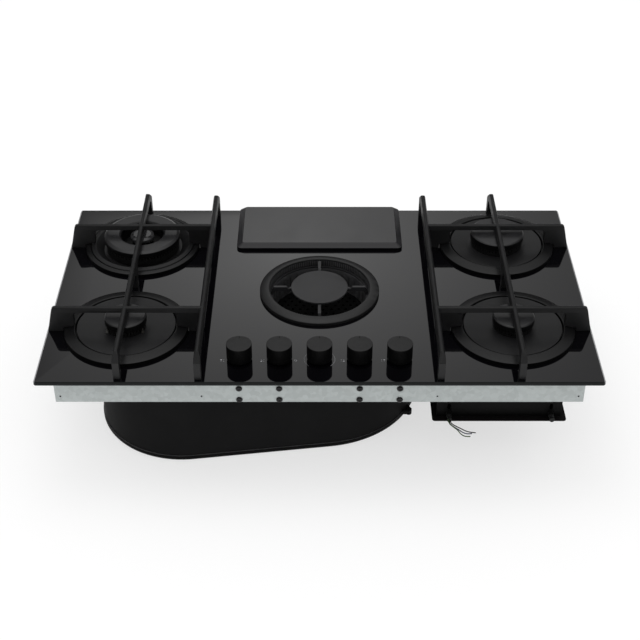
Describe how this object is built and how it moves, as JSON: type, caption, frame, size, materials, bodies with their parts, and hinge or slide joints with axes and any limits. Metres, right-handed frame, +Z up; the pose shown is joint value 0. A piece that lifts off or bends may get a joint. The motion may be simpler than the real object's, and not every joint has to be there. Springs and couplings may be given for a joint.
{
  "type": "gas cooktop",
  "caption": "Wide black-glass gas cooktop with cast pan supports, raised burner surrounds, a row of front knobs and a central downdraft extractor over an under-tray blower casing.",
  "frame": {"origin": "centre of the worktop seat: the plane z = 0 is the top of the worktop that the seal lies on", "axes": "+X to the user's right, +Y towards the back, +Z up"},
  "size_m": [0.9, 0.52, 0.2475],
  "materials": {
    "black_glass": "polished black ceramic glass, mirror gloss",
    "seal_foam": "closed-cell foam strip",
    "galvanised_steel": "galvanised sheet steel, satin",
    "steel": "bright steel",
    "black_screw": "black zinc-plated steel",
    "surround_enamel": "satin black enamel",
    "dish_enamel": "matt black enamel on pressed steel",
    "aluminium_casting": "die-cast aluminium, satin",
    "brass": "turned brass",
    "ceramic": "white glazed ceramic",
    "dark_casting": "die-cast aluminium, black coated",
    "cap_enamel": "matt black enamel",
    "cap_gloss": "gloss black enamel",
    "cast_iron": "matt black enamelled cast iron",
    "satin_plastic": "satin black plastic",
    "filter_mesh": "aluminium grease filter",
    "inner_plastic": "moulded dark grey plastic",
    "casing_plastic": "moulded black plastic",
    "box_paint": "black painted sheet steel",
    "wire_black": "black wire sleeve",
    "wire_blue": "dark blue wire sleeve",
    "wire_green": "green wire sleeve",
    "knob_plastic": "matt black knob plastic"
  },
  "bodies": {
    "hob": {"glass_top": "black_glass", "worktop_seal": "seal_foam", "base_tray": "galvanised_steel", "worktop_clamps": "steel", "tray_screws": "black_screw", "front_left_surround_ring": "surround_enamel", "front_right_surround_ring": "surround_enamel", "rapid_surround_ring": "surround_enamel", "wok_surround_ring": "surround_enamel", "burner_dishes": "dish_enamel", "burner_cups": "aluminium_casting", "injectors": "brass", "spark_electrodes": "ceramic", "thermocouples": "steel", "intake_ring": "satin_plastic", "gas_valves": "brass", "gas_manifold": "steel", "burner_pipes": "aluminium_casting", "ignition_generator": "inner_plastic", "fan_switch": "inner_plastic", "casing_upper": "casing_plastic", "casing_lower": "casing_plastic", "casing_screws": "black_screw", "scroll_housing": "inner_plastic", "fan_motor": "steel", "control_box": "box_paint", "control_box_cover": "box_paint", "cable_glands": "satin_plastic", "live_wire": "wire_black", "neutral_wire": "wire_blue", "earth_wire": "wire_green"},
    "left_grate": {"left_pan_support": "cast_iron"},
    "right_grate": {"right_pan_support": "cast_iron"},
    "front_left_spreader": {"front_left_crown": "dark_casting"},
    "front_left_lid": {"front_left_cap": "cap_enamel"},
    "front_right_spreader": {"front_right_crown": "dark_casting"},
    "front_right_lid": {"front_right_cap": "cap_enamel"},
    "rapid_spreader": {"rapid_crown": "dark_casting"},
    "rapid_lid": {"rapid_cap": "cap_enamel"},
    "wok_spreader": {"wok_crown": "dark_casting"},
    "wok_ring_lid": {"wok_outer_cap": "cap_enamel"},
    "wok_centre_lid": {"wok_inner_cap": "cap_gloss"},
    "filter_cup": {"grease_filter": "filter_mesh"},
    "intake_grille": {"intake_cover": "satin_plastic"},
    "service_lid": {"rear_cover": "satin_plastic"},
    "rear_left_push": {"rear_left_push_pin": "brass"},
    "rear_left_control": {"rear_left_knob": "knob_plastic", "rear_left_spindle": "steel"},
    "front_left_push": {"front_left_push_pin": "brass"},
    "front_left_control": {"front_left_knob": "knob_plastic", "front_left_spindle": "steel"},
    "front_right_push": {"front_right_push_pin": "brass"},
    "front_right_control": {"front_right_knob": "knob_plastic", "front_right_spindle": "steel"},
    "rear_right_push": {"rear_right_push_pin": "brass"},
    "rear_right_control": {"rear_right_knob": "knob_plastic", "rear_right_spindle": "steel"},
    "fan_control": {"fan_knob": "knob_plastic", "fan_spindle": "steel"},
    "blower_wheel": {"impeller": "inner_plastic"}
  },
  "joints": [
    {"name": "left_grate_lift", "type": "slide", "parent": "hob", "child": "left_grate", "axis": [0, 0, 1], "range_m": [0, 0.12]},
    {"name": "right_grate_lift", "type": "slide", "parent": "hob", "child": "right_grate", "axis": [0, 0, 1], "range_m": [0, 0.12]},
    {"name": "front_left_spreader_lift", "type": "slide", "parent": "hob", "child": "front_left_spreader", "axis": [0, 0, 1], "range_m": [0, 0.06]},
    {"name": "front_left_lid_lift", "type": "slide", "parent": "front_left_spreader", "child": "front_left_lid", "axis": [0, 0, 1], "range_m": [0, 0.03]},
    {"name": "front_right_spreader_lift", "type": "slide", "parent": "hob", "child": "front_right_spreader", "axis": [0, 0, 1], "range_m": [0, 0.06]},
    {"name": "front_right_lid_lift", "type": "slide", "parent": "front_right_spreader", "child": "front_right_lid", "axis": [0, 0, 1], "range_m": [0, 0.03]},
    {"name": "rapid_spreader_lift", "type": "slide", "parent": "hob", "child": "rapid_spreader", "axis": [0, 0, 1], "range_m": [0, 0.06]},
    {"name": "rapid_lid_lift", "type": "slide", "parent": "rapid_spreader", "child": "rapid_lid", "axis": [0, 0, 1], "range_m": [0, 0.03]},
    {"name": "wok_spreader_lift", "type": "slide", "parent": "hob", "child": "wok_spreader", "axis": [0, 0, 1], "range_m": [0, 0.06]},
    {"name": "wok_ring_lid_lift", "type": "slide", "parent": "wok_spreader", "child": "wok_ring_lid", "axis": [0, 0, 1], "range_m": [0, 0.03]},
    {"name": "wok_centre_lid_lift", "type": "slide", "parent": "wok_spreader", "child": "wok_centre_lid", "axis": [0, 0, 1], "range_m": [0, 0.024]},
    {"name": "filter_lift", "type": "slide", "parent": "hob", "child": "filter_cup", "axis": [0, 0, 1], "range_m": [0, 0.08]},
    {"name": "intake_grille_lift", "type": "slide", "parent": "filter_cup", "child": "intake_grille", "axis": [0, 0, 1], "range_m": [0, 0.05]},
    {"name": "service_lid_lift", "type": "slide", "parent": "hob", "child": "service_lid", "axis": [0, 0, 1], "range_m": [0, 0.05]},
    {"name": "rear_left_knob_push", "type": "slide", "parent": "hob", "child": "rear_left_push", "axis": [0, 0, -1], "range_m": [0, 0.0035], "stiffness_N_per_m": 1200, "springref_m": -0.004},
    {"name": "rear_left_knob_turn", "type": "hinge", "parent": "rear_left_push", "child": "rear_left_control", "pos_m": [-0.1284, -0.2, 0.014], "axis": [0, 0, 1], "range_deg": [0, 210]},
    {"name": "front_left_knob_push", "type": "slide", "parent": "hob", "child": "front_left_push", "axis": [0, 0, -1], "range_m": [0, 0.0035], "stiffness_N_per_m": 1200, "springref_m": -0.004},
    {"name": "front_left_knob_turn", "type": "hinge", "parent": "front_left_push", "child": "front_left_control", "pos_m": [-0.0642, -0.2, 0.014], "axis": [0, 0, 1], "range_deg": [0, 210]},
    {"name": "front_right_knob_push", "type": "slide", "parent": "hob", "child": "front_right_push", "axis": [0, 0, -1], "range_m": [0, 0.0035], "stiffness_N_per_m": 1200, "springref_m": -0.004},
    {"name": "front_right_knob_turn", "type": "hinge", "parent": "front_right_push", "child": "front_right_control", "pos_m": [0.0642, -0.2, 0.014], "axis": [0, 0, 1], "range_deg": [0, 210]},
    {"name": "rear_right_knob_push", "type": "slide", "parent": "hob", "child": "rear_right_push", "axis": [0, 0, -1], "range_m": [0, 0.0035], "stiffness_N_per_m": 1200, "springref_m": -0.004},
    {"name": "rear_right_knob_turn", "type": "hinge", "parent": "rear_right_push", "child": "rear_right_control", "pos_m": [0.1284, -0.2, 0.014], "axis": [0, 0, 1], "range_deg": [0, 210]},
    {"name": "fan_knob_turn", "type": "hinge", "parent": "hob", "child": "fan_control", "pos_m": [0, -0.2, 0.014], "axis": [0, 0, 1], "range_deg": [-270, 0]},
    {"name": "blower_wheel_spin", "type": "hinge", "parent": "hob", "child": "blower_wheel", "pos_m": [-0.232, -0.072, -0.152], "axis": [0, 0, 1], "continuous": true}
  ],
  "couplings": [
    {"joint": "front_left_spreader_lift", "follows": "left_grate_lift", "ratio": 0.5},
    {"joint": "front_left_lid_lift", "follows": "left_grate_lift", "ratio": 0.25},
    {"joint": "front_right_spreader_lift", "follows": "right_grate_lift", "ratio": 0.5},
    {"joint": "front_right_lid_lift", "follows": "right_grate_lift", "ratio": 0.25},
    {"joint": "rapid_spreader_lift", "follows": "right_grate_lift", "ratio": 0.5},
    {"joint": "rapid_lid_lift", "follows": "right_grate_lift", "ratio": 0.25},
    {"joint": "wok_spreader_lift", "follows": "left_grate_lift", "ratio": 0.5},
    {"joint": "wok_ring_lid_lift", "follows": "left_grate_lift", "ratio": 0.25},
    {"joint": "wok_centre_lid_lift", "follows": "left_grate_lift", "ratio": 0.2}
  ]
}
